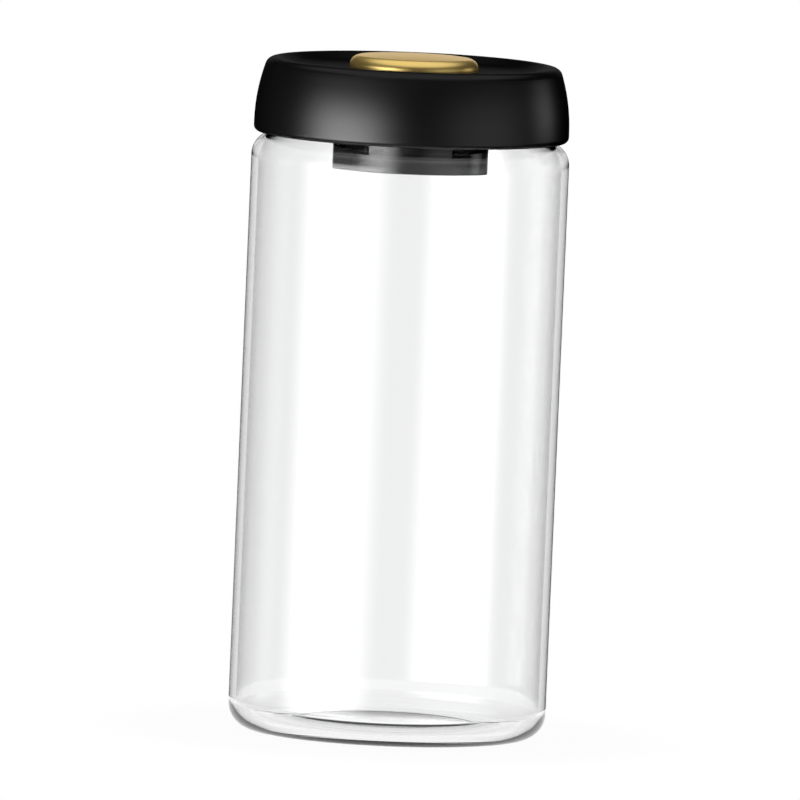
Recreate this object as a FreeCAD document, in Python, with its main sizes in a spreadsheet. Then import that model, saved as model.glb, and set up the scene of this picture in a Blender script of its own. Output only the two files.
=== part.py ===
import FreeCAD, Part
import math
import os
from types import SimpleNamespace

import Sketcher

# Vacuum seal canister: a glass jar, a dished black lid, and a press button that
# drives a piston pump in a cup below the lid. Turning the button lets air back in.
# Millimetres. Z is the jar's axis, the foot stands on Z = 0, the front faces -Y.

SIZES = {
    # Glass jar
    "jar_radius": 50.0,
    "glass_wall": 2.3,
    "base_glass": 3.0,
    "foot_round": 8.0,
    "foot_width": 6.5,
    "punt_rise": 1.2,
    "wall_height": 184.7,
    "shoulder_round": 7.0,
    "shoulder_rise": 5.1,
    "neck_inset": 6.5,
    "glass_rim_round": 1.0,
    # Lid shell
    "lid_gap": 3.85,
    "lid_height": 23.45,
    "rim_room": 12.0,
    "lid_inset": 0.4,
    "lid_wall": 2.4,
    "edge_round": 1.8,
    "rim_round": 3.0,
    "rim_width": 3.4,
    "dish_run": 5.8,
    "dish_drop": 2.4,
    "dish_depth": 3.6,
    "well_gap": 0.5,
    "well_wall": 1.8,
    "rib_width": 1.4,
    "snap_bead": 0.9,
    # Button and plunger
    "button_rise": 2.4,
    "button_crown": 0.9,
    "button_thickness": 5.0,
    "cap_wall": 1.2,
    "core_skirt": 2.0,
    "core_plate": 2.0,
    "stroke": 6.5,
    "press_gap": 0.3,
    "release_turn": 45.0,
    "plunger_wall": 2.5,
    "plunger_web": 6.0,
    "core_screw_length": 4.0,
    "key_width": 3.0,
    "key_depth": 0.9,
    # Release ring and valve
    "ring_plate": 2.0,
    "ring_collar": 2.3,
    "turn_gap": 0.3,
    "fork_drop": 0.3,
    "fork_thickness": 1.7,
    "valve_lift": 1.6,
    "stem_radius": 1.4,
    "stem_flange": 1.0,
    "seal_thickness": 1.2,
    "seat_rise": 0.9,
    "vent_radius": 1.7,
    "release_spring_length": 5.35,
    "release_wire": 0.4,
    # Pump
    "cup_wall": 1.6,
    "cup_round": 1.2,
    "cylinder_wall": 1.6,
    "cylinder_flange": 1.8,
    "screw_radius": 1.0,
    "cover_plate": 1.5,
    "flap_thickness": 0.4,
    "flap_gap": 0.1,
    "crown": 2.0,
    "piston_height": 5.0,
    "end_gap": 1.0,
    "pump_floor": 1.5,
    "under_gap": 1.3,
    "spring_wire": 0.9,
    "window_top": 2.7,
    "window_height": 3.5,
    "window_angle": 56.0,
    # Inner lid and seals
    "plug_gap": 1.6,
    "plug_wall": 2.0,
    "plate": 2.0,
    "lid_flange": 2.0,
    "seal_lip": 0.95,
    "ring_section": 1.2,
    # Clearances
    "slide_gap": 0.3,
    "fit_gap": 0.1,
    "lip_gap": 0.15,
}

SCREW_COUNT = 4
RIB_COUNT = 6
KEY_COUNT = 4
WINDOW_COUNT = 3
RETURN_TURNS = 3
RELEASE_TURNS = 4

V = FreeCAD.Vector
UP = V(0, 0, 1)
Constraint = Sketcher.Constraint


class Size:
    """A length in millimetres together with the sheet formula that gives it."""

    def __init__(self, value, text):
        self.value = value
        self.text = text

    def __add__(self, other):
        other = as_size(other)
        return Size(self.value + other.value, f"({self.text} + {other.text})")

    def __sub__(self, other):
        other = as_size(other)
        return Size(self.value - other.value, f"({self.text} - {other.text})")

    def __mul__(self, factor):
        return Size(self.value * factor, f"({self.text} * {factor})")

    def __truediv__(self, other):
        return Size(self.value / other.value, f"({self.text} / {other.text})")

    def __neg__(self):
        return self * -1


def as_size(number):
    """A plain number read as a Size."""
    return number if isinstance(number, Size) else Size(float(number), repr(float(number)))


doc = FreeCAD.newDocument("canister")
sheet = doc.addObject("Spreadsheet::Sheet", "Sizes")
levels = doc.addObject("Spreadsheet::Sheet", "Levels")
size = SimpleNamespace()
at = SimpleNamespace()
nodes = []

for row, (name, value) in enumerate(SIZES.items(), start=1):
    sheet.set(f"A{row}", name)
    sheet.set(f"B{row}", str(value))
    sheet.setAlias(f"B{row}", name)
    setattr(size, name, Size(value, f"Sizes.{name}"))
doc.recompute()


def derive(name, length):
    """Keeps a height or radius that follows from the driving sizes under a name of its own."""
    row = len(vars(at)) + 1
    levels.set(f"A{row}", name)
    levels.set(f"B{row}", f"={length.text}")
    levels.setAlias(f"B{row}", name)
    setattr(at, name, Size(length.value, f"Levels.{name}"))


# Heights from the lid down: each piece hangs from the one above it.
derive("lid_edge", size.wall_height + size.lid_gap)
derive("lid_top", at.lid_edge + size.lid_height)
derive("button_top", at.lid_top + size.button_rise)
derive("cap_edge", at.button_top - size.button_crown)
derive("cap_bottom", at.cap_edge - size.button_thickness)
derive("core_bottom", at.cap_bottom - size.core_skirt)
derive("ring_top", at.core_bottom - size.stroke - size.press_gap)
derive("ring_bottom", at.ring_top - size.ring_plate)
derive("collar_top", at.ring_top + size.ring_collar)
derive("plunger_top", at.collar_top + size.stroke + size.press_gap)
derive("cover_top", at.ring_bottom - size.turn_gap)
derive("cover_bottom", at.cover_top - size.cover_plate)
derive("flap_top", at.cover_bottom - size.flap_gap)
derive("crown_top", at.flap_top - size.flap_thickness)
derive("crown_bottom", at.crown_top - size.crown)
derive("piston_bottom", at.crown_top - size.piston_height)
derive("floor_top", at.piston_bottom - size.stroke - size.end_gap)
derive("floor_bottom", at.floor_top - size.pump_floor)
derive("cup_floor", at.floor_bottom - size.under_gap)
derive("cup_bottom", at.cup_floor - size.cup_wall)
derive("fork_bottom", at.ring_bottom - size.fork_drop)
derive("fork_middle", at.fork_bottom + size.fork_thickness)
derive("stem_collar", at.fork_middle - size.valve_lift * 0.5 + 0.25)
derive("stem_top", at.stem_collar + 1.0)
derive("boss_bottom", at.stem_top + size.release_spring_length)
derive("stem_base", at.fork_bottom - size.valve_lift - size.slide_gap)
derive("seal_top", at.stem_base - size.stem_flange)
derive("seat_top", at.seal_top - size.seal_thickness)
derive("plate_top", at.seat_top - size.seat_rise)
derive("plate_bottom", at.plate_top - size.plate)
derive("flange_top", at.plate_top + size.cylinder_flange)
derive("glass_top", at.lid_top - size.rim_room)
derive("lip_bottom", at.glass_top + size.fit_gap)
derive("rest_bottom", at.lip_bottom + size.seal_lip)
derive("rest_top", at.rest_bottom + size.lid_flange)

# Radii from the jar inward. The rooms between the pump's pieces widen with the jar.
derive("button_radius", size.jar_radius * 0.406)
derive("valve_inset", size.jar_radius * 0.08)
derive("fork_reach", size.jar_radius * 0.068)
derive("stem_foot", size.jar_radius * 0.064)
derive("stem_head", size.jar_radius * 0.06)
derive("seat_wall", size.jar_radius * 0.034)
derive("screw_inset", size.jar_radius * 0.12)
derive("screw_land", size.jar_radius * 0.042)
derive("cup_land", size.jar_radius * 0.064)
derive("cup_space", size.jar_radius * 0.08)
derive("piston_skirt", size.jar_radius * 0.09)
derive("spring_room", size.jar_radius * 0.06)
derive("neck_radius", size.jar_radius - size.neck_inset)
derive("neck_bore", at.neck_radius - size.glass_wall)
derive("lid_radius", size.jar_radius - size.lid_inset)
derive("lid_crest", at.lid_radius - size.lid_height * 0.15)
derive("rest_radius", at.lid_radius - size.lid_wall - 1.8)
derive("plug_radius", at.neck_bore - size.plug_gap)
derive("plug_inner", at.plug_radius - size.plug_wall)
derive("valve_circle", at.plug_inner - at.valve_inset)
derive("screw_circle", at.valve_circle - at.screw_inset)
derive("cup_radius", at.screw_circle - at.cup_land)
derive("cup_bore", at.cup_radius - size.cup_wall)
derive("cylinder_radius", at.cup_radius - at.cup_space)
derive("bore", at.cylinder_radius - size.cylinder_wall)
derive("piston_radius", at.bore - size.slide_gap)
derive("hollow", at.piston_radius - at.piston_skirt)
derive("plunger_radius", at.hollow - at.spring_room)
derive("plunger_bore", at.plunger_radius - size.plunger_wall)
derive("well_radius", at.button_radius + size.well_gap)
derive("well_outer", at.well_radius + size.well_wall)
doc.recompute()


def body(label):
    """A new sub-part."""
    part = doc.addObject("PartDesign::Body", label)
    part.Label = label
    nodes.append(part)
    return part


def sketch_on(part, name, plane, offset=None):
    """An empty sketch on one of the sub-part's own planes, moved along its normal."""
    sketch = part.newObject("Sketcher::SketchObject", name)
    support = next(item for item in part.Origin.OriginFeatures if item.Role == plane)
    sketch.AttachmentSupport = (support, [""])
    sketch.MapMode = "FlatFace"
    if offset is not None:
        sketch.AttachmentOffset = FreeCAD.Placement(V(0, 0, offset.value), FreeCAD.Rotation())
        sketch.setExpression("AttachmentOffset.Base.z", offset.text)
    return sketch


def turn_sketch(sketch, angle):
    """Turns a sketch about its own normal by a formula in degrees."""
    base = sketch.AttachmentOffset.Base
    sketch.AttachmentOffset = FreeCAD.Placement(base, FreeCAD.Rotation(UP, angle.value))
    sketch.setExpression("AttachmentOffset.Rotation.Angle", angle.text)


def fix(sketch, kind, geometry, point, length):
    """Holds one point of a sketch at a signed distance from the sketch's origin."""
    if length.value == 0:
        axis = -2 if kind == "DistanceX" else -1
        sketch.addConstraint(Constraint("PointOnObject", geometry, point, axis))
        return
    if length.value > 0:
        index = sketch.addConstraint(Constraint(kind, -1, 1, geometry, point, length.value))
        sketch.setExpression(f"Constraints[{index}]", length.text)
    else:
        index = sketch.addConstraint(Constraint(kind, geometry, point, -1, 1, -length.value))
        sketch.setExpression(f"Constraints[{index}]", (-length).text)


def rounded(before, corner, after, radius):
    """The arc that rounds a corner: its ends on the two edges, and whether it turns left."""
    back = (before - corner).normalize()
    ahead = (after - corner).normalize()
    half = back.getAngle(ahead) / 2
    reach = radius / math.tan(half)
    centre = corner + (back + ahead).normalize() * (radius / math.sin(half))
    left = (corner - before).cross(after - corner).z > 0
    return corner + back * reach, corner + ahead * reach, centre, left


def draw(sketch, corners):
    """Draws a closed outline of corners (x, y) or (x, y, round) and dimensions all of it."""
    flat = [(as_size(c[0]), as_size(c[1]), as_size(c[2]) if len(c) > 2 else None) for c in corners]
    points = [V(x.value, y.value, 0) for x, y, _ in flat]
    count = len(flat)
    starts = list(points)
    ends = list(points)
    arcs = {}
    for i, (_, _, radius) in enumerate(flat):
        if radius is not None:
            bend = rounded(points[i - 1], points[i], points[(i + 1) % count], radius.value)
            ends[i], starts[i] = bend[0], bend[1]
            arcs[i] = bend
    for i in range(count):
        sketch.addGeometry(Part.LineSegment(starts[i], ends[(i + 1) % count]), False)
    for i, (x, y, radius) in enumerate(flat):
        previous = (i - 1) % count
        if i not in arcs:
            sketch.addConstraint(Constraint("Coincident", previous, 2, i, 1))
            fix(sketch, "DistanceX", i, 1, x)
            fix(sketch, "DistanceY", i, 1, y)
            continue
        entry, leave, centre, left = arcs[i]
        first, last = (entry, leave) if left else (leave, entry)
        circle = Part.Circle(centre, UP, radius.value)
        arc_shape = Part.ArcOfCircle(circle, circle.parameter(first), circle.parameter(last))
        arc = sketch.addGeometry(arc_shape, False)
        mark = sketch.addGeometry(Part.Point(points[i]), True)
        sketch.addConstraint(Constraint("Tangent", previous, 2, arc, 1 if left else 2))
        sketch.addConstraint(Constraint("Tangent", arc, 2 if left else 1, i, 1))
        sketch.addConstraint(Constraint("PointOnObject", mark, 1, previous))
        sketch.addConstraint(Constraint("PointOnObject", mark, 1, i))
        index = sketch.addConstraint(Constraint("Radius", arc, radius.value))
        sketch.setExpression(f"Constraints[{index}]", radius.text)
        fix(sketch, "DistanceX", mark, 1, x)
        fix(sketch, "DistanceY", mark, 1, y)


def bind(feature, name, length):
    """Ties a length or angle of a feature to its formula."""
    setattr(feature, name, length.value)
    feature.setExpression(name, length.text)


def turned(part, name, corners):
    """A revolved solid of an outline given as (radius, height) corners."""
    sketch = sketch_on(part, f"{part.Label}_{name}", "XZ_Plane")
    draw(sketch, corners)
    feature = part.newObject("PartDesign::Revolution", f"{part.Label}_{name}_turned")
    feature.Profile = sketch
    feature.ReferenceAxis = (sketch, ["V_Axis"])
    feature.Angle = 360
    return feature


def repeat(part, feature, sketch, count):
    """Repeats a feature evenly about the jar's axis."""
    if count == 1:
        return
    pattern = part.newObject("PartDesign::PolarPattern", f"{feature.Name}_ring")
    pattern.Originals = [feature]
    pattern.Axis = (sketch, ["N_Axis"])
    pattern.Angle = 360
    pattern.Occurrences = count
    part.Tip = pattern


def round_feature(part, name, kind, radius, bottom, top, circle=0, count=1, angle=0):
    """Upright round bosses (Pad) or holes (Pocket) between two heights on a circle."""
    add = kind == "PartDesign::Pad"
    sketch = sketch_on(part, f"{part.Label}_{name}", "XY_Plane", bottom if add else top)
    radius, circle, angle = as_size(radius), as_size(circle), as_size(angle)
    sketch.addGeometry(Part.Circle(V(circle.value, 0, 0), UP, radius.value), False)
    index = sketch.addConstraint(Constraint("Radius", 0, radius.value))
    sketch.setExpression(f"Constraints[{index}]", radius.text)
    fix(sketch, "DistanceX", 0, 3, circle)
    fix(sketch, "DistanceY", 0, 3, as_size(0))
    if angle.value:
        turn_sketch(sketch, angle)
    feature = part.newObject(kind, f"{part.Label}_{name}_cut" if not add else f"{part.Label}_{name}_pad")
    feature.Profile = sketch
    bind(feature, "Length", top - bottom)
    repeat(part, feature, sketch, count)


def holes(part, name, radius, bottom, top, circle=0, count=1, angle=0):
    """Round holes."""
    round_feature(part, name, "PartDesign::Pocket", radius, bottom, top, circle, count, angle)


def bosses(part, name, radius, bottom, top, circle=0, count=1, angle=0):
    """Round bosses."""
    round_feature(part, name, "PartDesign::Pad", radius, bottom, top, circle, count, angle)


def block(part, name, kind, inner, outer, width, bottom, top, count=1):
    """A straight-sided radial block (Pad) or slot (Pocket) along +X, repeated about the axis."""
    add = kind == "PartDesign::Pad"
    sketch = sketch_on(part, f"{part.Label}_{name}", "XY_Plane", bottom if add else top)
    half = width * 0.5
    draw(sketch, [(inner, -half), (outer, -half), (outer, half), (inner, half)])
    feature = part.newObject(kind, f"{part.Label}_{name}_block")
    feature.Profile = sketch
    bind(feature, "Length", top - bottom)
    repeat(part, feature, sketch, count)


def turn_part(part, angle):
    """Turns a whole sub-part about the jar's axis."""
    part.Placement = FreeCAD.Placement(V(0, 0, 0), FreeCAD.Rotation(UP, angle.value))
    part.setExpression("Placement.Rotation.Angle", angle.text)


# The glass jar: rounded foot with a shallow punt, straight wall, sloping rounded shoulder and neck.
jar = body("jar_glass")
foot_outer = size.jar_radius - size.foot_round
foot_inner = foot_outer - size.foot_width
inside = size.jar_radius - size.glass_wall
shoulder_top = size.wall_height + size.shoulder_rise
shoulder_dip = size.glass_wall * 0.49
turned(jar, "wall", [
    (0, size.punt_rise),
    (foot_inner - 6.0, size.punt_rise, 30.0),
    (foot_inner, 0, 1.5),
    (size.jar_radius, 0, size.foot_round),
    (size.jar_radius, size.wall_height, size.shoulder_round),
    (at.neck_radius, shoulder_top, 0.6),
    (at.neck_radius, at.glass_top, size.glass_rim_round),
    (at.neck_bore, at.glass_top, size.glass_rim_round),
    (at.neck_bore, shoulder_top - shoulder_dip, 1.6),
    (inside, size.wall_height - shoulder_dip, size.shoulder_round - size.glass_wall),
    (inside, size.base_glass, size.foot_round - size.glass_wall),
    (foot_inner, size.base_glass, 30.0),
    (foot_inner - 8.0, size.base_glass + size.punt_rise, 30.0),
    (0, size.base_glass + size.punt_rise),
])

# The lid shell: convex side, rounded rim, dished top and a well that the button sinks into.
shell = body("lid_shell")
dish_edge = at.lid_crest - size.rim_width
dish_bend = dish_edge - size.dish_run
dish_bend_top = at.lid_top - size.dish_drop
dish_floor = at.lid_top - size.dish_depth
well_bottom = at.ring_top + size.press_gap
inner_wall = at.lid_radius - size.lid_wall
bead_top = at.rest_bottom - size.fit_gap
turned(shell, "skin", [
    (inner_wall, at.lid_edge, 0.4),
    (at.lid_radius, at.lid_edge, size.edge_round),
    (at.lid_radius, at.lid_edge + size.lid_height * 0.51, size.lid_height * 2.5),
    (at.lid_crest, at.lid_top, size.rim_round),
    (dish_edge, at.lid_top, 2.0),
    (dish_bend, dish_bend_top, 10.0),
    (at.well_radius, dish_floor, 0.6),
    (at.well_radius, well_bottom),
    (at.well_outer, well_bottom),
    (at.well_outer, dish_floor - size.lid_wall, 0.6),
    (dish_bend, dish_bend_top - size.lid_wall, 10.0),
    (at.lid_crest - size.lid_wall - 0.2, at.lid_top - size.lid_wall, 1.0),
    (inner_wall - 0.45, bead_top),
    (at.rest_radius - size.snap_bead, bead_top),
    (at.rest_radius - size.snap_bead, bead_top - 0.5),
    (inner_wall, bead_top - 2.2),
])
rib = sketch_on(shell, "lid_shell_rib", "XZ_Plane")
half_wall = size.lid_wall * 0.5
rib_bottom = at.rest_top + size.fit_gap
draw(rib, [
    (at.well_radius + 1.0, rib_bottom),
    (inner_wall - 1.0, rib_bottom),
    (at.lid_crest - half_wall, at.lid_top - half_wall - 0.8),
    (dish_edge, at.lid_top - half_wall - 0.2),
    (dish_bend, dish_bend_top - half_wall),
    (at.well_radius + 1.0, dish_floor - half_wall),
])
rib_pad = shell.newObject("PartDesign::Pad", "lid_shell_rib_pad")
rib_pad.Profile = rib
rib_pad.SideType = "Symmetric"
bind(rib_pad, "Length", size.rib_width)
rib_ring = shell.newObject("PartDesign::PolarPattern", "lid_shell_rib_ring")
rib_ring.Originals = [rib_pad]
rib_ring.Axis = (rib, ["V_Axis"])
rib_ring.Angle = 360
rib_ring.Occurrences = RIB_COUNT
shell.Tip = rib_ring
boss_root = dish_bend_top - size.lid_wall - 0.2 + 1.0
bosses(shell, "spring_boss", 3.2, at.boss_bottom, boss_root, at.valve_circle, 1, 90)
bosses(shell, "spring_spigot", 1.2, at.boss_bottom - 1.0, at.boss_bottom, at.valve_circle, 1, 90)

# The inner lid: a plug in the neck, a flange over the glass rim and a plate that holds the pump.
inner = body("inner_lid")
spigot = at.cup_bore - 0.2
groove_middle = at.cylinder_radius + 2.8
groove_half = size.ring_section * 0.5 + 0.1
plate_hole = at.cylinder_radius + 0.25
spigot_inner = spigot - (spigot - plate_hole) * 0.7
turned(inner, "plug", [
    (plate_hole, at.plate_bottom),
    (spigot_inner, at.plate_bottom),
    (spigot_inner, at.plate_bottom - 2.5),
    (spigot, at.plate_bottom - 2.5, 0.3),
    (spigot, at.plate_bottom),
    (at.plug_radius, at.plate_bottom, 0.8),
    (at.plug_radius, at.plate_bottom + 2.2),
    (at.plug_radius - 0.8, at.plate_bottom + 2.2),
    (at.plug_radius - 0.8, at.rest_bottom),
    (at.rest_radius, at.rest_bottom),
    (at.rest_radius, at.rest_top, 0.5),
    (at.plug_inner, at.rest_top, 0.5),
    (at.plug_inner, at.plate_top, 1.0),
    (groove_middle + groove_half, at.plate_top),
    (groove_middle + groove_half, at.plate_top - size.ring_section),
    (groove_middle - groove_half, at.plate_top - size.ring_section),
    (groove_middle - groove_half, at.plate_top),
    (plate_hole, at.plate_top),
])
bosses(inner, "screw_boss", 2.4, at.plate_bottom - 1.3, at.plate_top, at.screw_circle, SCREW_COUNT, 45)
holes(inner, "screw_pilot", size.screw_radius + 0.05, at.plate_bottom - 0.5, at.plate_top, at.screw_circle,
      SCREW_COUNT, 45)
seat_radius = size.vent_radius + at.seat_wall
bosses(inner, "valve_seat", seat_radius, at.plate_bottom, at.seat_top, at.valve_circle, 1, 90)
holes(inner, "vent", size.vent_radius, at.plate_bottom, at.seat_top, at.valve_circle, 1, 90)

# The neck seal: a silicone ring on the plug, two lips in the neck and a flat lip over the rim.
seal = body("neck_seal")
sleeve_inner = at.plug_radius - 0.8 + 0.05
sleeve_outer = sleeve_inner + 1.0
sleeve_bottom = at.plate_bottom + 2.25
sleeve = at.lip_bottom - sleeve_bottom
lip_edge = at.neck_bore - size.lip_gap
turned(seal, "ring", [
    (sleeve_inner, sleeve_bottom),
    (sleeve_outer, sleeve_bottom, 0.3),
    (sleeve_outer, sleeve_bottom + sleeve * 0.11),
    (lip_edge, sleeve_bottom + sleeve * 0.27),
    (lip_edge, sleeve_bottom + sleeve * 0.33),
    (sleeve_outer, sleeve_bottom + sleeve * 0.3),
    (sleeve_outer, sleeve_bottom + sleeve * 0.49),
    (lip_edge, sleeve_bottom + sleeve * 0.65),
    (lip_edge, sleeve_bottom + sleeve * 0.71),
    (sleeve_outer, sleeve_bottom + sleeve * 0.68),
    (sleeve_outer, at.lip_bottom, 0.3),
    (at.neck_radius + 0.2, at.lip_bottom, 0.3),
    (at.neck_radius + 0.2, at.rest_bottom - 0.02),
    (sleeve_inner, at.rest_bottom - 0.02),
])

# The pump cylinder: an open-topped barrel with a flange on the inner lid and a ported floor.
barrel = body("pump_cylinder")
flange_radius = at.screw_circle + at.screw_land
turned(barrel, "barrel", [
    (0, at.floor_bottom),
    (at.cylinder_radius, at.floor_bottom, 0.8),
    (at.cylinder_radius, at.plate_top),
    (flange_radius, at.plate_top),
    (flange_radius, at.flange_top, 0.4),
    (at.cylinder_radius, at.flange_top),
    (at.cylinder_radius, at.cover_bottom),
    (at.bore, at.cover_bottom),
    (at.bore, at.floor_top, 0.5),
    (0, at.floor_top),
])
holes(barrel, "stem_hole", 1.5, at.floor_bottom, at.floor_top)
holes(barrel, "inlet", 1.2, at.floor_bottom, at.floor_top, 3.8, 6)
holes(barrel, "screw_hole", size.screw_radius + 0.2, at.plate_top, at.flange_top, at.screw_circle,
      SCREW_COUNT, 45)

# The O-ring under the cylinder's flange.
o_ring = doc.addObject("Part::Torus", "cylinder_o_ring")
o_ring.Label = "cylinder_o_ring"
bind(o_ring, "Radius1", groove_middle)
bind(o_ring, "Radius2", size.ring_section * 0.5)
o_ring_height = at.plate_top - size.ring_section * 0.5
o_ring.Placement = FreeCAD.Placement(V(0, 0, o_ring_height.value), FreeCAD.Rotation())
o_ring.setExpression("Placement.Base.z", o_ring_height.text)
nodes.append(o_ring)

# Four pan-head screws that hold the cylinder to the inner lid.
screws = body("cylinder_screws")
bosses(screws, "shank", size.screw_radius, at.plate_bottom - 0.3, at.flange_top, at.screw_circle,
       SCREW_COUNT, 45)
bosses(screws, "head", 1.9, at.flange_top, at.flange_top + 1.2, at.screw_circle, SCREW_COUNT, 45)

# The cover on the cylinder: it guides the plunger, stops the piston and lets spent air out.
cover = body("cylinder_cover")
cover_inner = at.cylinder_radius + 0.05
turned(cover, "disc", [
    (at.plunger_radius + 0.2, at.cover_bottom),
    (cover_inner, at.cover_bottom),
    (cover_inner, at.cover_bottom - 1.4),
    (cover_inner + 1.3, at.cover_bottom - 1.4, 0.3),
    (cover_inner + 1.3, at.cover_top, 0.4),
    (at.plunger_radius + 0.2, at.cover_top),
])
holes(cover, "vent", 1.0, at.cover_bottom, at.cover_top, at.piston_radius - 2.4, 8)

# The inlet valve: a silicone umbrella over the ports of the floor, held by a bead below it.
inlet = body("inlet_valve")
turned(inlet, "umbrella", [
    (0, at.floor_bottom - 0.7),
    (1.2, at.floor_bottom - 0.7, 0.3),
    (2.0, at.floor_bottom - 0.05),
    (1.45, at.floor_bottom - 0.05),
    (1.45, at.floor_top + 0.05),
    (6.0, at.floor_top + 0.02),
    (6.0, at.floor_top + 0.4),
    (2.6, at.floor_top + 1.3, 1.0),
    (0, at.floor_top + 1.4),
])

# The intake cup: the dark round housing below the lid, with three windows near its top.
cup = body("intake_cup")
window_high = at.plate_bottom - size.window_top
window_low = window_high - size.window_height
turned(cup, "cup", [
    (0, at.cup_bottom),
    (at.cup_radius, at.cup_bottom, size.cup_round),
    (at.cup_radius, at.plate_bottom - 0.05),
    (at.cup_bore, at.plate_bottom - 0.05),
    (at.cup_bore, at.cup_floor, 0.3),
    (0, at.cup_floor),
])
window = sketch_on(cup, "intake_cup_window", "XZ_Plane")
draw(window, [
    (at.cup_bore - 0.5, window_low),
    (at.cup_radius + 0.5, window_low),
    (at.cup_radius + 0.5, window_high),
    (at.cup_bore - 0.5, window_high),
])
window_cut = cup.newObject("PartDesign::Groove", "intake_cup_window_cut")
window_cut.Profile = window
window_cut.ReferenceAxis = (window, ["V_Axis"])
window_cut.Midplane = True
bind(window_cut, "Angle", size.window_angle)
window_ring = cup.newObject("PartDesign::PolarPattern", "intake_cup_window_ring")
window_ring.Originals = [window_cut]
window_ring.Axis = (window, ["V_Axis"])
window_ring.Angle = 360
window_ring.Occurrences = WINDOW_COUNT
cup.Tip = window_ring
turn_part(cup, Size(-30.0, "-30"))

# The intake filter: a fine mesh band behind the windows.
mesh = body("intake_filter")
turned(mesh, "band", [
    (spigot - 0.5, at.cup_floor + 0.1),
    (spigot, at.cup_floor + 0.1),
    (spigot, at.plate_bottom - 2.6),
    (spigot - 0.5, at.plate_bottom - 2.6),
])

# The release ring: a disc keyed to the plunger whose forked ramp lifts the release valve.
ring = body("release_ring")
ring_bore = at.plunger_radius + 0.2
ring_radius = at.well_outer + 0.9
fork_inner = at.valve_circle - at.fork_reach
fork_outer = at.valve_circle + at.fork_reach
turned(ring, "disc", [
    (ring_bore, at.ring_bottom),
    (ring_radius, at.ring_bottom),
    (ring_radius, at.ring_top, 0.4),
    (ring_bore + 2.3, at.ring_top),
    (ring_bore + 2.3, at.collar_top, 0.4),
    (ring_bore, at.collar_top),
])
block(ring, "key", "PartDesign::Pad", ring_bore - size.key_depth, ring_bore + 1.0, size.key_width,
      at.ring_bottom, at.collar_top, KEY_COUNT)
block(ring, "arm", "PartDesign::Pad", ring_radius - 3.0, fork_inner + 1.0, size.key_width * 3,
      at.ring_bottom, at.ring_top)
fork = sketch_on(ring, "release_ring_fork", "XZ_Plane")
fork_crest = at.fork_middle + size.valve_lift * 0.7
draw(fork, [
    (fork_inner, at.fork_bottom),
    (fork_outer, at.fork_bottom),
    (fork_outer, fork_crest),
    (fork_inner, fork_crest),
])
fork_sector = ring.newObject("PartDesign::Revolution", "release_ring_fork_sector")
fork_sector.Profile = fork
fork_sector.ReferenceAxis = (fork, ["V_Axis"])
fork_sector.Midplane = True
fork_overrun = (at.stem_head + size.stem_radius) / at.valve_circle * 57.3
bind(fork_sector, "Angle", size.release_turn + fork_overrun * 2)
ramp = sketch_on(ring, "release_ring_ramp", "YZ_Plane", fork_inner - 5.0)
half_turn = math.radians(SIZES["release_turn"] / 2)
ramp_rise = Size(
    SIZES["valve_lift"] / 2 / math.sin(half_turn),
    "(Sizes.valve_lift / 2 / sin(Sizes.release_turn * 0.5 * 1deg))",
)
draw(ramp, [
    (-at.valve_circle, at.fork_middle + ramp_rise),
    (at.valve_circle, at.fork_middle - ramp_rise),
    (at.valve_circle, fork_crest + ramp_rise),
    (-at.valve_circle, fork_crest + ramp_rise),
])
ramp_cut = ring.newObject("PartDesign::Pocket", "release_ring_ramp_cut")
ramp_cut.Profile = ramp
ramp_cut.Reversed = True
bind(ramp_cut, "Length", at.fork_reach * 2 + 7)
slot = sketch_on(ring, "release_ring_slot", "XZ_Plane")
slot_half = size.stem_radius + size.slide_gap
draw(slot, [
    (at.valve_circle - slot_half, at.fork_bottom - 1.0),
    (at.valve_circle + slot_half, at.fork_bottom - 1.0),
    (at.valve_circle + slot_half, fork_crest + 1.0),
    (at.valve_circle - slot_half, fork_crest + 1.0),
])
slot_cut = ring.newObject("PartDesign::Groove", "release_ring_slot_cut")
slot_cut.Profile = slot
slot_cut.ReferenceAxis = (slot, ["V_Axis"])
slot_cut.Type = "TwoAngles"
slot_cut.Reversed = True
bind(slot_cut, "Angle", size.release_turn * 0.5 + fork_overrun * 1.6)
bind(slot_cut, "Angle2", size.release_turn * 0.5 + slot_half / at.valve_circle * 63.0)
rest_turn = Size(90 - SIZES["release_turn"] / 2, "(90 - Sizes.release_turn / 2)")
turn_part(ring, rest_turn)

# The release valve: a stem with a silicone pad on the vent's seat, lifted by its collar.
stem = body("release_stem")
pin_bottom = at.plate_top - 1.5
turned(stem, "stem", [
    (0, pin_bottom),
    (0.9, pin_bottom),
    (0.9, at.seal_top),
    (at.stem_foot, at.seal_top),
    (at.stem_foot, at.stem_base, 0.3),
    (size.stem_radius, at.stem_base),
    (size.stem_radius, at.stem_collar),
    (at.stem_head, at.stem_collar),
    (at.stem_head, at.stem_top, 0.3),
    (1.0, at.stem_top),
    (1.0, at.stem_top + 1.2, 0.3),
    (0, at.stem_top + 1.2),
])
pad = body("release_seal")
turned(pad, "pad", [
    (0.95, at.seat_top),
    (at.stem_foot, at.seat_top, 0.2),
    (at.stem_foot, at.seal_top),
    (0.95, at.seal_top),
])
for part in (stem, pad):
    part.Placement = FreeCAD.Placement(V(0, at.valve_circle.value, 0), FreeCAD.Rotation())
    part.setExpression("Placement.Base.y", at.valve_circle.text)

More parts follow.
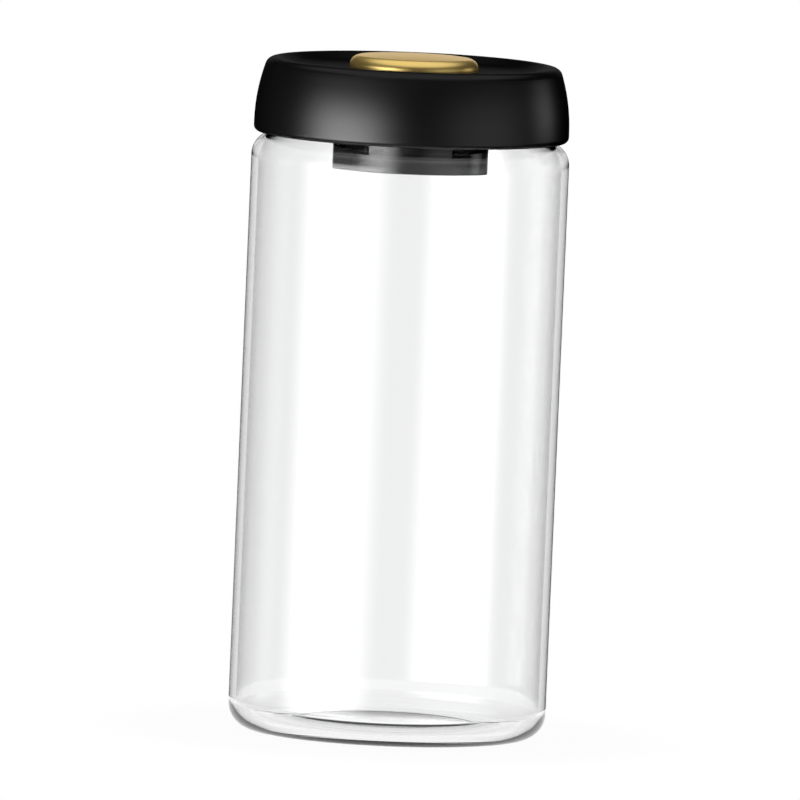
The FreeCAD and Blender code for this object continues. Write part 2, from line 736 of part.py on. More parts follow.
# The button: a crowned gold shell rolled over the edge of a black core that carries the plunger.
cap = body("button_cap")
nose = size.button_thickness * 0.64
heel = size.button_thickness * 0.32
nose_inside = nose - size.cap_wall
heel_inside = heel - size.cap_wall
curl = at.button_radius - heel - 0.8
cap_inside = at.cap_edge - size.cap_wall
cap_side = at.button_radius - size.cap_wall
crown_bend = at.button_radius * 0.445
curl_top = at.cap_bottom + size.cap_wall
turned(cap, "shell", [
    (0, at.button_top),
    (0, cap_inside),
    (cap_side, cap_inside, nose_inside),
    (cap_side, curl_top, heel_inside),
    (curl, curl_top),
    (curl, at.cap_bottom),
    (at.button_radius, at.cap_bottom, heel),
    (at.button_radius, at.cap_edge, nose),
    (crown_bend, at.button_top, at.button_radius * 9.8),
])
core = body("button_core")
core_hollow = at.button_radius - 4.5
core_neck = curl - size.fit_gap
core_side = cap_side - size.fit_gap
core_top = cap_inside - size.fit_gap
core_ledge = curl_top + size.fit_gap
turned(core, "carrier", [
    (0, at.plunger_top),
    (core_hollow, at.plunger_top, 0.6),
    (core_hollow, at.core_bottom, 0.3),
    (at.button_radius - 0.2, at.core_bottom, 0.6),
    (at.button_radius - 0.2, at.cap_bottom - 0.05),
    (core_neck, at.cap_bottom - 0.05),
    (core_neck, core_ledge),
    (core_side, core_ledge, heel_inside - size.fit_gap),
    (core_side, core_top, nose_inside - size.fit_gap),
    (core_hollow, core_top),
    (core_hollow, at.plunger_top + size.core_plate),
    (0, at.plunger_top + size.core_plate),
])
core_screw_circle = at.plunger_radius - size.plunger_wall * 0.5
core_plate_top = at.plunger_top + size.core_plate
core_screw_angle = rest_turn + 45
holes(core, "screw_hole", 0.85, at.plunger_top, core_plate_top, core_screw_circle, SCREW_COUNT,
      core_screw_angle)
core_screws = body("core_screws")
shank_bottom = at.plunger_top - size.core_screw_length
bosses(core_screws, "shank", 0.75, shank_bottom, core_plate_top, core_screw_circle, SCREW_COUNT,
       core_screw_angle)
bosses(core_screws, "head", 1.5, core_plate_top, core_plate_top + 0.9, core_screw_circle, SCREW_COUNT,
       core_screw_angle)

# The plunger: a grooved tube from the button's core down to the piston.
plunger = body("plunger")
web_top = at.flap_top + size.plunger_web
turned(plunger, "tube", [
    (0, at.flap_top),
    (at.plunger_radius, at.flap_top, 0.3),
    (at.plunger_radius, at.plunger_top),
    (at.plunger_bore, at.plunger_top),
    (at.plunger_bore, web_top, 0.8),
    (0, web_top),
])
block(plunger, "groove", "PartDesign::Pocket", ring_bore - size.key_depth - 0.2, at.plunger_radius + 1.0,
      size.key_width + 0.4, at.flap_top, at.plunger_top, KEY_COUNT)
holes(plunger, "pilot", 1.55, at.flap_top, web_top - 0.8)
holes(plunger, "screw_pilot", 0.8, shank_bottom - 0.5, at.plunger_top, core_screw_circle, SCREW_COUNT, 45)
turn_part(plunger, rest_turn)

# The screw that holds the piston to the plunger.
screw = body("plunger_screw")
turned(screw, "screw", [
    (0, at.crown_bottom - 1.8),
    (2.8, at.crown_bottom - 1.8, 0.6),
    (2.8, at.crown_bottom),
    (1.5, at.crown_bottom),
    (1.5, web_top - 1.2),
    (0, web_top - 1.2),
])

# The piston with its lip seal and the flap over its exhaust holes.
piston = body("piston")
seal_groove = at.piston_radius - 2.2
groove_low = at.piston_bottom + 0.9
groove_high = at.crown_top - 1.0
turned(piston, "piston", [
    (0, at.crown_bottom),
    (at.hollow, at.crown_bottom, 0.6),
    (at.hollow, at.piston_bottom),
    (at.piston_radius, at.piston_bottom, 0.3),
    (at.piston_radius, groove_low),
    (seal_groove, groove_low),
    (seal_groove, groove_high),
    (at.piston_radius, groove_high),
    (at.piston_radius, at.crown_top, 0.3),
    (0, at.crown_top),
])
holes(piston, "screw_hole", 1.6, at.crown_bottom, at.crown_top)
holes(piston, "exhaust", 0.8, at.crown_bottom, at.crown_top, at.plunger_radius + 1.4, 8)
lip = body("piston_seal")
lip_low = groove_low + 0.05
lip_high = groove_high - 0.05
turned(lip, "ring", [
    (seal_groove + 0.05, lip_low),
    (at.piston_radius - 0.1, lip_low),
    (at.bore - size.lip_gap, lip_high - 0.6),
    (at.bore - size.lip_gap, lip_high),
    (at.bore - size.lip_gap - 0.6, lip_high),
    (seal_groove + 1.2, lip_low + 0.9),
    (seal_groove + 0.7, lip_high),
    (seal_groove + 0.05, lip_high),
])
flap = body("exhaust_valve")
flap_radius = at.piston_radius - at.spring_room
turned(flap, "flap", [
    (1.6, at.crown_top),
    (flap_radius, at.crown_top),
    (flap_radius, at.flap_top),
    (1.6, at.flap_top),
])


def coil(label, radius, wire, turns, bottom, top, place):
    """A round-wire spring: a helix of quarter-turn arc pairs swept as one tube."""
    low = bottom.value + wire.value / 2 + 0.02
    rise = (top.value - bottom.value - wire.value - 0.04) / turns
    run = math.hypot(2 * math.pi * radius.value, rise)

    def point(turn):
        angle = 2 * math.pi * turn
        return V(radius.value * math.cos(angle), radius.value * math.sin(angle), low + rise * turn)

    def heading(turn):
        angle = 2 * math.pi * turn
        flat = 2 * math.pi * radius.value / run
        return V(-math.sin(angle) * flat, math.cos(angle) * flat, rise / run)

    def arc(start, direction, end):
        chord = end - start
        along = direction.dot(chord) / chord.Length
        side = (direction - chord * (along / chord.Length)).normalize()
        bulge = chord.Length / 2 * math.tan(math.acos(along) / 2)
        return Part.Arc(start, start + chord * 0.5 + side * bulge, end).toShape()

    edges = []
    for quarter in range(4 * turns):
        start, end = point(quarter / 4), point((quarter + 1) / 4)
        ahead, behind = heading(quarter / 4), heading((quarter + 1) / 4)
        chord = end - start
        spread = 2 * (1 - ahead.dot(behind))
        both = chord.dot(ahead + behind)
        reach = (math.sqrt(both * both + spread * chord.dot(chord)) - both) / spread
        middle = (start + ahead * reach + end - behind * reach) * 0.5
        edges.append(arc(start, ahead, middle))
        edges.append(arc(end, behind * -1, middle))
    section = Part.Wire([Part.Circle(point(0), heading(0), wire.value / 2).toShape()])
    spring = doc.addObject("Part::Feature", label)
    spring.Label = label
    spring.Shape = Part.Wire(edges).makePipeShell([section], True, False)
    spring.Placement = FreeCAD.Placement(place, FreeCAD.Rotation())
    nodes.append(spring)
    path = [point(step / 48) for step in range(48 * turns + 1)]
    nearest = min((a - b).Length for i, a in enumerate(path) for b in path[i + 24:])
    print(f"{label}: least gap between turns {nearest - wire.value:.2f} mm")


# The return spring under the piston and the small spring that closes the release valve.
coil("return_spring", at.hollow - at.spring_room, size.spring_wire, RETURN_TURNS, at.floor_top, at.crown_bottom,
     V(0, 0, 0))
coil("release_spring", size.stem_radius * 1.25, size.release_wire, RELEASE_TURNS, at.stem_top, at.boss_bottom,
     V(0, at.valve_circle.value, 0))

doc.recompute()

for item in doc.Objects:
    if "Invalid" in item.State or "Error" in item.State:
        raise RuntimeError(f"{item.Name} did not rebuild: {item.State}")

os.makedirs("parts", exist_ok=True)
for node in nodes:
    shape = node.Shape
    if shape.isNull() or not shape.isValid() or shape.Volume <= 0:
        raise RuntimeError(f"{node.Label} is not a valid solid")
    shape.exportStep(f"parts/{node.Label}.step")
    print(f"{node.Label}: {len(shape.Solids)} solid, {shape.Volume:.0f} mm3")
print(f"{len(nodes)} nodes")
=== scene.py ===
import math

import bpy
import numpy as np
from mathutils import Matrix, Vector


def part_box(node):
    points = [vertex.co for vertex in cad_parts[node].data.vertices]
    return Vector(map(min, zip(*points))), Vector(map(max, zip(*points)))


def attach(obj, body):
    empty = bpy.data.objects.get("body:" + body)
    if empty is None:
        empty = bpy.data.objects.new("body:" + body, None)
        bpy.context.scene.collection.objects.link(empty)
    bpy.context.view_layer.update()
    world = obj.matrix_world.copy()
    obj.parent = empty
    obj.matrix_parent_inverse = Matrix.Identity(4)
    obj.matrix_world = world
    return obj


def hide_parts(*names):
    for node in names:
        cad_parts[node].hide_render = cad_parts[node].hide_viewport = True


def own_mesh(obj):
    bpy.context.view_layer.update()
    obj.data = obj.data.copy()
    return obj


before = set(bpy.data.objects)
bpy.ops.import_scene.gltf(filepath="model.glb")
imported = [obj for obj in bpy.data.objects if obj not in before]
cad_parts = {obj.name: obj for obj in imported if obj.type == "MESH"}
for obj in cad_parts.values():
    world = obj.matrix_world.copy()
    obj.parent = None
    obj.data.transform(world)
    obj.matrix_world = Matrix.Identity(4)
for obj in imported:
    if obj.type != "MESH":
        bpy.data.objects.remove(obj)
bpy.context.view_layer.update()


# The jar: clear soda-lime glass, blown in a mould. Its wall is thickest at the foot, the neck stands inside
# the lid, and the slight draw of the hot glass leaves faint upright waves in the wall.
class Wire:
    """One output of a shader node. Sums on wires add Math nodes, and node() adds any other kind."""

    def __init__(self, tree, socket):
        self.tree = tree
        self.socket = socket

    def feed(self, socket, value):
        """Links a wire to a socket, or sets a plain value on it."""
        if isinstance(value, Wire):
            self.tree.links.new(value.socket, socket)
        else:
            socket.default_value = value

    def node(self, kind, inputs, out=0, **settings):
        """Adds a node of this kind with its settings and its inputs by name or number."""
        made = self.tree.nodes.new(kind)
        for name, value in settings.items():
            setattr(made, name, value)
        for name, value in inputs.items():
            self.feed(made.inputs[name], value)
        return Wire(self.tree, made.outputs[out])

    def math(self, operation, *values):
        return self.node("ShaderNodeMath", dict(enumerate(values)), operation=operation)

    def __add__(self, other):
        return self.math("ADD", self, other)

    def __radd__(self, other):
        return self.math("ADD", other, self)

    def __sub__(self, other):
        return self.math("SUBTRACT", self, other)

    def __rsub__(self, other):
        return self.math("SUBTRACT", other, self)

    def __mul__(self, other):
        return self.math("MULTIPLY", self, other)

    def __rmul__(self, other):
        return self.math("MULTIPLY", other, self)

    def __truediv__(self, other):
        return self.math("DIVIDE", self, other)

    def __pow__(self, other):
        return self.math("POWER", self, other)

    def stretched(self, scale):
        """The same place measured with a scale of its own along X, Y and Z."""
        return self.node("ShaderNodeVectorMath", {0: self, 1: scale}, operation="MULTIPLY")

    def part(self, axis):
        return self.node("ShaderNodeSeparateXYZ", {0: self}, out=axis)

    def across(self):
        """The distance from the jar's axis."""
        x, y = self.part("X"), self.part("Y")
        return (x * x + y * y) ** 0.5

    def noise(self, scale, detail=2.0, roughness=0.5):
        """Even noise about 0.5 whose grain is one over scale, in metres."""
        grain = {"Vector": self, "Scale": scale, "Detail": detail, "Roughness": roughness}
        return self.node("ShaderNodeTexNoise", grain)

    def ramp(self, low, high, start=0.0, end=1.0):
        """Carries the span low to high onto start to end, smoothly and clamped."""
        span = {"Value": self, "From Min": low, "From Max": high, "To Min": start, "To Max": end}
        return self.node("ShaderNodeMapRange", span, interpolation_type="SMOOTHSTEP")

    def tint(self, low, high):
        """A colour between two, by this wire."""
        return self.node("ShaderNodeMix", {0: self, 6: low, 7: high}, out=2, data_type="RGBA")

    def bumped(self, distance, strength=1.0):
        """A surface normal raised by this wire, by a distance in metres."""
        return self.node("ShaderNodeBump", {"Height": self, "Distance": distance, "Strength": strength})


def finish(name, **constants):
    """A new material with its plain values set, its shader, and the place on the piece as a wire."""
    material = bpy.data.materials.new(name)
    material.use_nodes = True
    tree = material.node_tree
    shader = tree.nodes["Principled BSDF"]
    for socket, value in constants.items():
        shader.inputs[socket.replace("_", " ")].default_value = value
    place = Wire(tree, tree.nodes.new("ShaderNodeTexCoord").outputs["Object"])
    return material, shader.inputs, place


def coat(material, *nodes):
    """Gives CAD nodes their finish."""
    for node in nodes:
        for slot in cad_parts[node].material_slots:
            slot.material = material


glass, sockets, place = finish("clear_glass", Transmission_Weight=1.0, IOR=1.48)
facing = place.node("ShaderNodeLayerWeight", {"Blend": 0.35}, out="Facing")
edge = facing.ramp(0.6, 1.0)
place.feed(sockets["Base Color"], edge.tint((0.983, 0.985, 0.985, 1), (0.93, 0.94, 0.94, 1)))
smear = place.stretched((1, 1, 0.4)).noise(30.0, 3.0)
place.feed(sockets["Roughness"], smear.ramp(0.55, 0.8, 0.0, 0.02))
draw = place.stretched((1, 1, 0.05)).noise(60.0, 1.0)
place.feed(sockets["Normal"], draw.bumped(0.0002, 0.12))


def rounded(corners, steps):
    """An outline in radius and height: each corner (radius, height, round) becomes an arc of that round that
    touches both sides. Arc point s is the arc's middle plus its two arms to the sides, shared by the sines of
    the turn before and after s."""
    spots, rounds = np.array(corners)[:, :2], np.array(corners)[1:-1, 2:]
    back, ahead = spots[:-2] - spots[1:-1], spots[2:] - spots[1:-1]
    back /= np.linalg.norm(back, axis=1, keepdims=True)
    ahead /= np.linalg.norm(ahead, axis=1, keepdims=True)
    half = np.arccos((back * ahead).sum(1, keepdims=True)) / 2
    touch = rounds / np.tan(half)
    bisector = (back + ahead) / np.linalg.norm(back + ahead, axis=1, keepdims=True)
    middle = spots[1:-1] + bisector * rounds / np.sin(half)
    first, last = spots[1:-1] + back * touch - middle, spots[1:-1] + ahead * touch - middle
    turn = (np.pi - 2 * half)[:, None]
    share = np.linspace(0, 1, steps)[None, :, None]
    swing = np.sin((1 - share) * turn) * first[:, None] + np.sin(share * turn) * last[:, None]
    arcs = middle[:, None] + swing / np.sin(turn)
    return np.concatenate([spots[:1], arcs.reshape(-1, 2), spots[-1:]])


def turned(name, outline, columns):
    """A closed turned shape: point (u, v) is outline point u carried round the axis by the angle v."""
    angle = np.arange(columns) * 2 * np.pi / columns
    around = np.stack([np.cos(angle), np.sin(angle)], -1)
    flat = outline[:, None, :1] * around
    upright = outline[:, None, 1:] * np.ones((1, columns, 1))
    points = np.concatenate([flat, upright], -1).reshape(-1, 3)
    ids = np.arange(len(points)).reshape(len(outline), columns)
    onward = np.roll(ids, -1, 1)
    quads = np.stack([ids[:-1], onward[:-1], onward[1:], ids[1:]], -1).reshape(-1, 4)
    mesh = bpy.data.meshes.new(name)
    mesh.from_pydata(points.tolist(), [], quads.tolist() + [ids[0, ::-1].tolist(), ids[-1].tolist()])
    mesh.polygons.foreach_set("use_smooth", np.ones(len(mesh.polygons), dtype=bool))
    return mesh


wall_glass, base_glass, punt = 0.0023, 0.003, 0.0012
jar_radius, foot_round, foot_inner = 0.05, 0.008, 0.0355
heel_round, punt_run, floor_run, soft_round, pole = 0.0015, 0.006, 0.008, 0.03, 0.0005
wall_height, shoulder_top, shoulder_round = 0.1847, 0.1898, 0.007
inner_drop, root_round, inner_root_round = 0.001127, 0.0006, 0.0016
neck_radius, glass_top, lip_round = 0.0435, 0.2, 0.001
outside = [
    (pole, punt, 0),
    (foot_inner - punt_run, punt, soft_round),
    (foot_inner, 0, heel_round),
    (jar_radius, 0, foot_round),
    (jar_radius, wall_height, shoulder_round),
    (neck_radius, shoulder_top, root_round),
    (neck_radius, glass_top, lip_round),
]
inside = [
    (neck_radius - wall_glass, glass_top, lip_round),
    (neck_radius - wall_glass, shoulder_top - inner_drop, inner_root_round),
    (jar_radius - wall_glass, wall_height - inner_drop, shoulder_round),
    (jar_radius - wall_glass, base_glass, foot_round - wall_glass),
    (foot_inner, base_glass, soft_round),
    (foot_inner - floor_run, base_glass + punt, soft_round),
    (pole, base_glass + punt, 0),
]
blown_jar = turned("blown_jar", rounded(outside + inside, steps=16), columns=360)
blown_jar.materials.append(glass)
jar = bpy.data.objects.new("blown_jar", blown_jar)
bpy.context.scene.collection.objects.link(jar)
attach(jar, "jar")
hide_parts("jar_glass")

# The lid: a black moulded shell with a convex side and a dished top. The side's satin skin comes from a
# fine spark-eroded mould, so its gloss breaks up in a small grain, and the top is etched dead matt against
# finger marks.
satin, sockets, place = finish("satin_black", Specular_IOR_Level=0.42)
cloud = place.noise(45.0, 3.0)
place.feed(sockets["Base Color"], cloud.tint((0.0012, 0.0012, 0.0012, 1), (0.0022, 0.0022, 0.0022, 1)))
grain = place.noise(2600.0, 2.0)
place.feed(sockets["Roughness"], 0.27 + 0.04 * cloud + 0.04 * grain)
place.feed(sockets["Normal"], grain.bumped(0.00003, 0.3))
flat_black = {"Base Color": (0.0015, 0.0015, 0.0015, 1), "Roughness": 0.8, "Specular IOR Level": 0.0}
matt_top = place.node("ShaderNodeBsdfPrincipled", flat_black)
tree = satin.node_tree
gloss_side = Wire(tree, tree.nodes["Principled BSDF"].outputs[0])
etched = place.across().ramp(0.0445, 0.0475, 0.85, 0.0)
grazed = place.node("ShaderNodeLayerWeight", {"Blend": 0.5}, out="Facing").ramp(0.5, 0.85, 0.0, 0.9)
matt = etched.math("MAXIMUM", etched, grazed)
place.feed(tree.nodes["Material Output"].inputs["Surface"],
           place.node("ShaderNodeMixShader", {0: matt, 1: gloss_side, 2: matt_top}))
coat(satin, "lid_shell")

# The inner lid, the pump cylinder and the button's core: plain black polypropylene, left as it comes from
# the mould, with faint flow marks round the axis.
moulded, sockets, place = finish("moulded_black", Specular_IOR_Level=0.45)
flow = place.stretched((1, 1, 0.3)).noise(120.0, 4.0)
place.feed(sockets["Base Color"], flow.tint((0.010, 0.010, 0.011, 1), (0.020, 0.020, 0.021, 1)))
place.feed(sockets["Roughness"], flow.ramp(0.3, 0.7, 0.38, 0.55))
place.feed(sockets["Normal"], place.noise(1800.0).bumped(0.00003, 0.3))
coat(moulded, "inner_lid", "pump_cylinder", "button_core")

# The seals and valves: grey silicone rubber, moulded soft and slightly dusty. They are pressed into their
# grooves and seats and hold there by their own stretch.
rubber, sockets, place = finish("grey_silicone", Specular_IOR_Level=0.3)
dust = place.noise(420.0, 4.0)
place.feed(sockets["Base Color"], dust.tint((0.17, 0.17, 0.17, 1), (0.27, 0.27, 0.265, 1)))
place.feed(sockets["Roughness"], dust.ramp(0.3, 0.7, 0.55, 0.75))
place.feed(sockets["Normal"], dust.bumped(0.00004, 0.4))
coat(rubber, "neck_seal", "cylinder_o_ring", "inlet_valve", "piston_seal", "exhaust_valve", "release_seal")

# The intake cup: glossy smoke-black plastic, polished in the mould so that it mirrors the light
# through the glass. Three windows near its top let the jar's air in.
smoke, sockets, place = finish("smoke_black", Specular_IOR_Level=0.5)
swirl = place.noise(90.0, 3.0)
place.feed(sockets["Base Color"], swirl.tint((0.014, 0.014, 0.0145, 1), (0.022, 0.022, 0.0225, 1)))
place.feed(sockets["Roughness"], swirl.ramp(0.3, 0.7, 0.10, 0.20))
coat(smoke, "intake_cup")


# The intake filter: a band of black woven wire inside the cup, held behind the windows. Upright wires
# pass over and under the level ones, so grounds stay in the jar while air goes through.
def tubes(paths, outward, along, thickness, sides):
    """Round wires: point (u, v) of a wire is its path at u plus half the thickness, turned by v from outward
    to the side, which is the cross product of the wire's run and outward."""
    side = np.cross(along, outward)
    turn = (np.arange(sides) + 0.5) * 2 * np.pi / sides
    ring = np.cos(turn)[:, None] * outward[..., None, :] + np.sin(turn)[:, None] * side[..., None, :]
    return paths[..., None, :] + thickness / 2 * ring


def lattice(grid, loop):
    """Faces of a wire's grid of points, closed round the wire, and along it too where it is a loop."""
    rows, columns = grid.shape
    ahead = np.roll(grid, -1, 0)[:rows if loop else rows - 1]
    here = grid[:ahead.shape[0]]
    return np.stack([here, np.roll(here, -1, 1), np.roll(ahead, -1, 1), ahead], -1).reshape(-1, 4)


low, high = (np.array(corner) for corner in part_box("intake_filter"))
wire_thickness, wire_sides = 0.0002, 4
edge_room = 0.00025
mesh_radius = high[0] - edge_room
uprights = 144
levels = 9
crimp = 0.0001
angle = np.arange(uprights) * 2 * np.pi / uprights
heights = np.linspace(low[2] + wire_thickness, high[2] - wire_thickness, levels)
climb = np.linspace(0, levels - 1, 2 * levels - 1)
sway = np.cos(np.pi * (climb[None, :] + np.arange(uprights)[:, None]))
rise = np.interp(climb, np.arange(levels), heights)
skyward = np.array([0, 0, 1.0])
out = np.stack([np.cos(angle), np.sin(angle), np.zeros(uprights)], -1)[:, None, :] * np.ones((1, climb.size, 1))
posts = out * (mesh_radius + crimp * sway)[..., None] + rise[None, :, None] * skyward
post_points = tubes(posts, out, skyward * np.ones_like(out), wire_thickness, wire_sides)
round_turn = np.linspace(0, 2 * np.pi, 2 * uprights, endpoint=False)
weave = -np.cos(np.pi * (np.arange(2 * uprights)[None, :] / 2 + np.arange(levels)[:, None]))
flat, each_level = np.zeros_like(round_turn), np.ones((levels, 1, 1))
outward = np.stack([np.cos(round_turn), np.sin(round_turn), flat], -1)[None] * each_level
forward = np.stack([-np.sin(round_turn), np.cos(round_turn), flat], -1)[None] * each_level
hoops = outward * (mesh_radius + crimp * weave)[..., None] + heights[:, None, None] * skyward
hoop_points = tubes(hoops, outward, forward, wire_thickness, wire_sides)
post_ids = np.arange(post_points[..., 0].size).reshape(post_points.shape[:3])
hoop_ids = post_ids.size + np.arange(hoop_points[..., 0].size).reshape(hoop_points.shape[:3])
wire_ends = [post_ids[:, 0, ::-1], post_ids[:, -1, :]]
faces = np.concatenate([lattice(ids, False) for ids in post_ids] + [lattice(ids, True) for ids in hoop_ids]
                       + wire_ends)
points = np.concatenate([post_points.reshape(-1, 3), hoop_points.reshape(-1, 3)])
woven = bpy.data.meshes.new("woven_filter")
woven.from_pydata(points.tolist(), [], faces.tolist())
woven.polygons.foreach_set("use_smooth", np.ones(len(faces), dtype=bool))
filter_mesh = bpy.data.objects.new("woven_filter", woven)
bpy.context.scene.collection.objects.link(filter_mesh)
dark_wire, sockets, place = finish("dark_wire", Specular_IOR_Level=0.4)
worn = place.noise(700.0, 3.0)
place.feed(sockets["Base Color"], worn.tint((0.003, 0.003, 0.003, 1), (0.010, 0.010, 0.010, 1)))
place.feed(sockets["Roughness"], worn.ramp(0.3, 0.7, 0.45, 0.65))
woven.materials.append(dark_wire)
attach(filter_mesh, "lid")
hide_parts("intake_filter")

# The screws: cold-headed steel, drawn and plated, with fine marks along Z. Four hold the cylinder, four
# small ones the button's core, and one the piston.
steel, sockets, place = finish("plated_steel", Metallic=1.0)
drawn = place.stretched((1, 1, 0.1)).noise(3000.0, 2.0)
place.feed(sockets["Base Color"], drawn.tint((0.50, 0.50, 0.51, 1), (0.66, 0.66, 0.66, 1)))
place.feed(sockets["Roughness"], drawn.ramp(0.3, 0.7, 0.22, 0.38))
coat(steel, "cylinder_screws", "core_screws", "plunger_screw")


# The springs: round music wire wound on a mandrel, one under the piston and a small one that closes the
# release valve. Each stands on the lid.
def wound(node, turns, wire):
    """A coil: the wire's middle turns round the box's middle as it climbs evenly from the bottom to the top,
    and its run is the sum of the turn's direction times the radius and the climb."""
    low, high = (np.array(corner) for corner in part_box(node))
    middle = (low + high) / 2
    radius = (high[0] - low[0] - wire) / 2
    angle = np.linspace(0, 2 * np.pi * turns, 40 * turns + 1)
    level = np.zeros_like(angle)
    outward = np.stack([np.cos(angle), np.sin(angle), level], -1)
    rise = np.linspace(low[2] + wire / 2, high[2] - wire / 2, angle.size) - middle[2]
    path = middle + radius * outward + np.stack([level, level, rise], -1)
    climb = (high[2] - low[2] - wire) / (2 * np.pi * turns)
    along = np.stack([-radius * np.sin(angle), radius * np.cos(angle), level + climb], -1)
    points = tubes(path, outward, along / np.hypot(radius, climb), wire, 12)
    ids = np.arange(points[..., 0].size).reshape(points.shape[:2])
    mesh = bpy.data.meshes.new("wound_" + node)
    ends = [ids[0, ::-1].tolist(), ids[-1].tolist()]
    mesh.from_pydata(points.reshape(-1, 3).tolist(), [], lattice(ids, False).tolist() + ends)
    mesh.polygons.foreach_set("use_smooth", np.ones(len(mesh.polygons), dtype=bool))
    mesh.materials.append(steel)
    spring = bpy.data.objects.new("wound_" + node, mesh)
    bpy.context.scene.collection.objects.link(spring)
    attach(spring, "lid")
    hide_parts(node)
    return spring, tuple(low), tuple(high)


spring, foot, head = wound("return_spring", turns=3, wire=0.0009)
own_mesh(spring)
spring, foot, head = wound("release_spring", turns=4, wire=0.0004)
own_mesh(spring)

# The plunger, the piston, the release pieces and the cylinder's cover: natural white acetal, moulded, which
# slides without grease.
acetal, sockets, place = finish("natural_acetal", Specular_IOR_Level=0.5)
milk = place.noise(160.0, 4.0)
place.feed(sockets["Base Color"], milk.tint((0.66, 0.65, 0.61, 1), (0.76, 0.75, 0.71, 1)))
place.feed(sockets["Roughness"], milk.ramp(0.3, 0.7, 0.36, 0.5))
coat(acetal, "plunger", "piston", "release_ring", "release_stem", "cylinder_cover")

# The button: a gold anodised aluminium shell, spun over the core and polished, so that fine
# lathe lines run round its axis. The dyed skin over the metal softens its mirror a little.
gold, sockets, place = finish("satin_gold", Metallic=0.82, Specular_Tint=(1.0, 0.86, 0.6, 1))
lathe = place.node("ShaderNodeTexNoise", {"W": place.across() * 9000.0, "Scale": 1.0}, noise_dimensions="1D")
wear = place.noise(140.0, 3.0)
place.feed(sockets["Base Color"], wear.tint((1.0, 0.68, 0.20, 1), (1.0, 0.77, 0.28, 1)))
place.feed(sockets["Roughness"], 0.26 + 0.06 * lathe + 0.06 * wear)
place.feed(sockets["Normal"], lathe.bumped(0.000004, 0.3))
coat(gold, "button_cap")


# The studio: a round white table in front of a white wall. A broad soft box stands at the front left,
# a weak card at the front right, a narrow one behind on the right and a canopy over the camera.
def disc(hub, radius, height):
    """A flat round sheet: point (u, v) lies at distance u from the axis in the direction v, at one height."""
    directions = np.linspace(0, 2 * np.pi, 72, endpoint=False)
    reach, turn = np.meshgrid(np.linspace(hub, radius, 16), directions, indexing="ij")
    points = np.stack([reach * np.cos(turn), reach * np.sin(turn), 0 * turn + height], -1).reshape(-1, 3)
    ids = np.arange(reach.size).reshape(reach.shape)
    onward = np.roll(ids, -1, 1)
    quads = np.stack([ids[:-1], ids[1:], onward[1:], onward[:-1]], -1).reshape(-1, 4)
    mesh = bpy.data.meshes.new("table")
    mesh.from_pydata(points.tolist(), [], quads.tolist() + [ids[0].tolist()])
    return mesh


table = bpy.data.objects.new("table", disc(hub=0.004, radius=0.11, height=-0.0001))
bpy.context.scene.collection.objects.link(table)
white, sockets, place = finish("white_table", Roughness=0.9, Specular_IOR_Level=0.1)
fibre = place.noise(300.0, 4.0)
place.feed(sockets["Base Color"], fibre.tint((0.86, 0.86, 0.86, 1), (0.90, 0.90, 0.90, 1)))
tree = white.node_tree


def shown_white(tree):
    """First, 1 for what the camera sees, straight or through the glass, and 0 for light that falls on a piece,
    also from inside the jar. Second, 1 for what a gloss mirrors."""
    path = tree.nodes.new("ShaderNodeLightPath")
    camera, through, mirrored = (Wire(tree, path.outputs[ray]) for ray in
                                 ("Is Camera Ray", "Is Transmission Ray", "Is Glossy Ray"))
    bounced = Wire(tree, path.outputs["Glossy Depth"]) + Wire(tree, path.outputs["Diffuse Depth"])
    walls = Wire(tree, path.outputs["Transmission Depth"])
    inside = bounced.math("GREATER_THAN", bounced, 0.5) * walls.math("GREATER_THAN", walls, 2.5)
    return camera.math("MAXIMUM", camera, through * (1.0 - inside)), mirrored


seen, mirrored = shown_white(tree)
glow = place.node("ShaderNodeEmission", {"Color": (1, 1, 1, 1), "Strength": 1.0})
share = place.across().ramp(0.06, 0.107, 0.96, 1.0)
plain = Wire(tree, tree.nodes["Principled BSDF"].outputs[0])
shown = seen.math("MAXIMUM", seen, mirrored) * share
place.feed(tree.nodes["Material Output"].inputs["Surface"],
           place.node("ShaderNodeMixShader", {0: shown, 1: plain, 2: glow}))
table.data.materials.append(white)


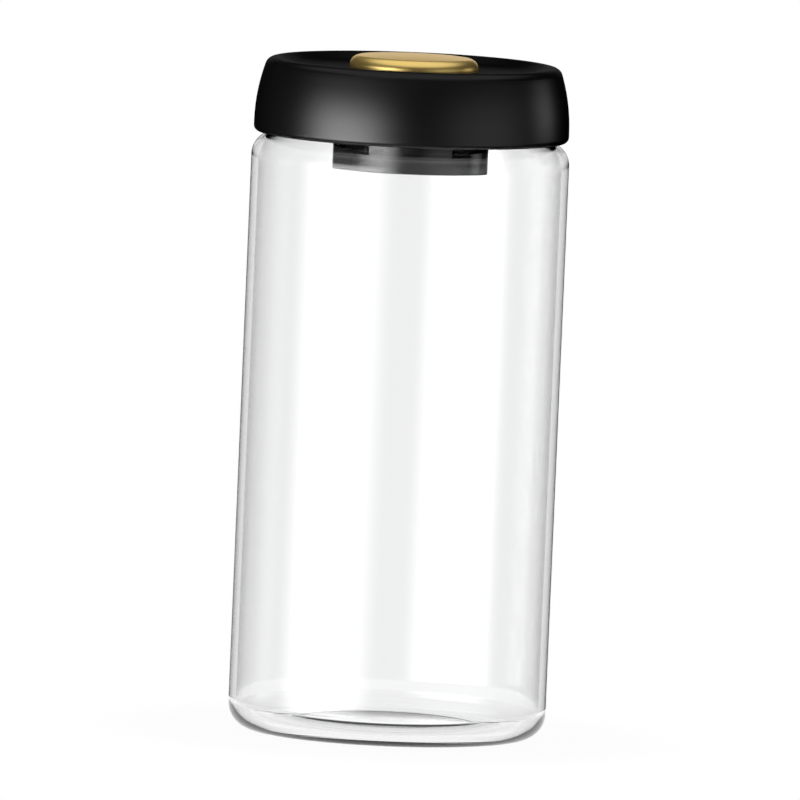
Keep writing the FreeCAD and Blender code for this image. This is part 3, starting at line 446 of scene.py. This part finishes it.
def window(angle, low, high, soft):
    """1 between two angles and 0 outside them, with soft edges, all in degrees."""
    low, high, soft = math.radians(low), math.radians(high), math.radians(soft)
    return angle.ramp(low - soft, low + soft) * angle.ramp(high - soft, high + soft, 1.0, 0.0)


world = bpy.data.worlds.new("studio")
world.use_nodes = True
bpy.context.scene.world = world
tree = world.node_tree
seen, _ = shown_white(tree)
toward = Wire(tree, tree.nodes.new("ShaderNodeTexCoord").outputs["Generated"])
turn = toward.math("ARCTAN2", toward.part("X"), 0.0 - toward.part("Y"))
height = toward.math("ARCSINE", toward.part("Z"))
key_box = window(turn, -73, -25, 18) * window(height, -40, 8, 12)
fill_card = window(turn, 28, 84, 22) * window(height, -40, 17, 12)
rim_card = window(turn, 104, 124, 7) * window(height, -4, 12, 4)
back_wall = toward.part("Y").ramp(0.93, 0.99) * window(height, 2, 34, 5)
canopy = height.ramp(math.radians(34), math.radians(56))
dark_room = 0.006
light = dark_room + 9.2 * key_box + 0.75 * fill_card + 1.15 * rim_card + 1.1 * back_wall + 0.9 * canopy
background = tree.nodes["Background"].inputs
toward.feed(background["Strength"], seen + (1.0 - seen) * light)
background["Color"].default_value = (1, 1, 1, 1)

# The camera: a long lens, a little above the lid and rolled so that the jar leans to the right. It stands
# far off, so that upright lines stay parallel.
lens_distance = 7.0
film_width = 36.0
picture_width = 0.2518
rise = math.radians(5.05)
roll = math.radians(2.44)
aim = Vector((0.0, 0.0, 0.1053))
back = Vector((0, -math.cos(rise), math.sin(rise)))
level = Vector((1, 0, 0))
upright = Vector((0, math.sin(rise), math.cos(rise)))
right = level * math.cos(roll) + upright * math.sin(roll)
up = upright * math.cos(roll) - level * math.sin(roll)
lens = bpy.data.cameras.new("camera")
lens.sensor_width = film_width
lens.lens = film_width * lens_distance / picture_width
camera = bpy.data.objects.new("camera", lens)
stand = Matrix.Translation(aim + back * lens_distance)
camera.matrix_world = stand @ Matrix((right, up, back)).transposed().to_4x4()
bpy.context.scene.collection.objects.link(camera)
bpy.context.scene.camera = camera
bpy.context.scene.view_settings.view_transform = "Standard"
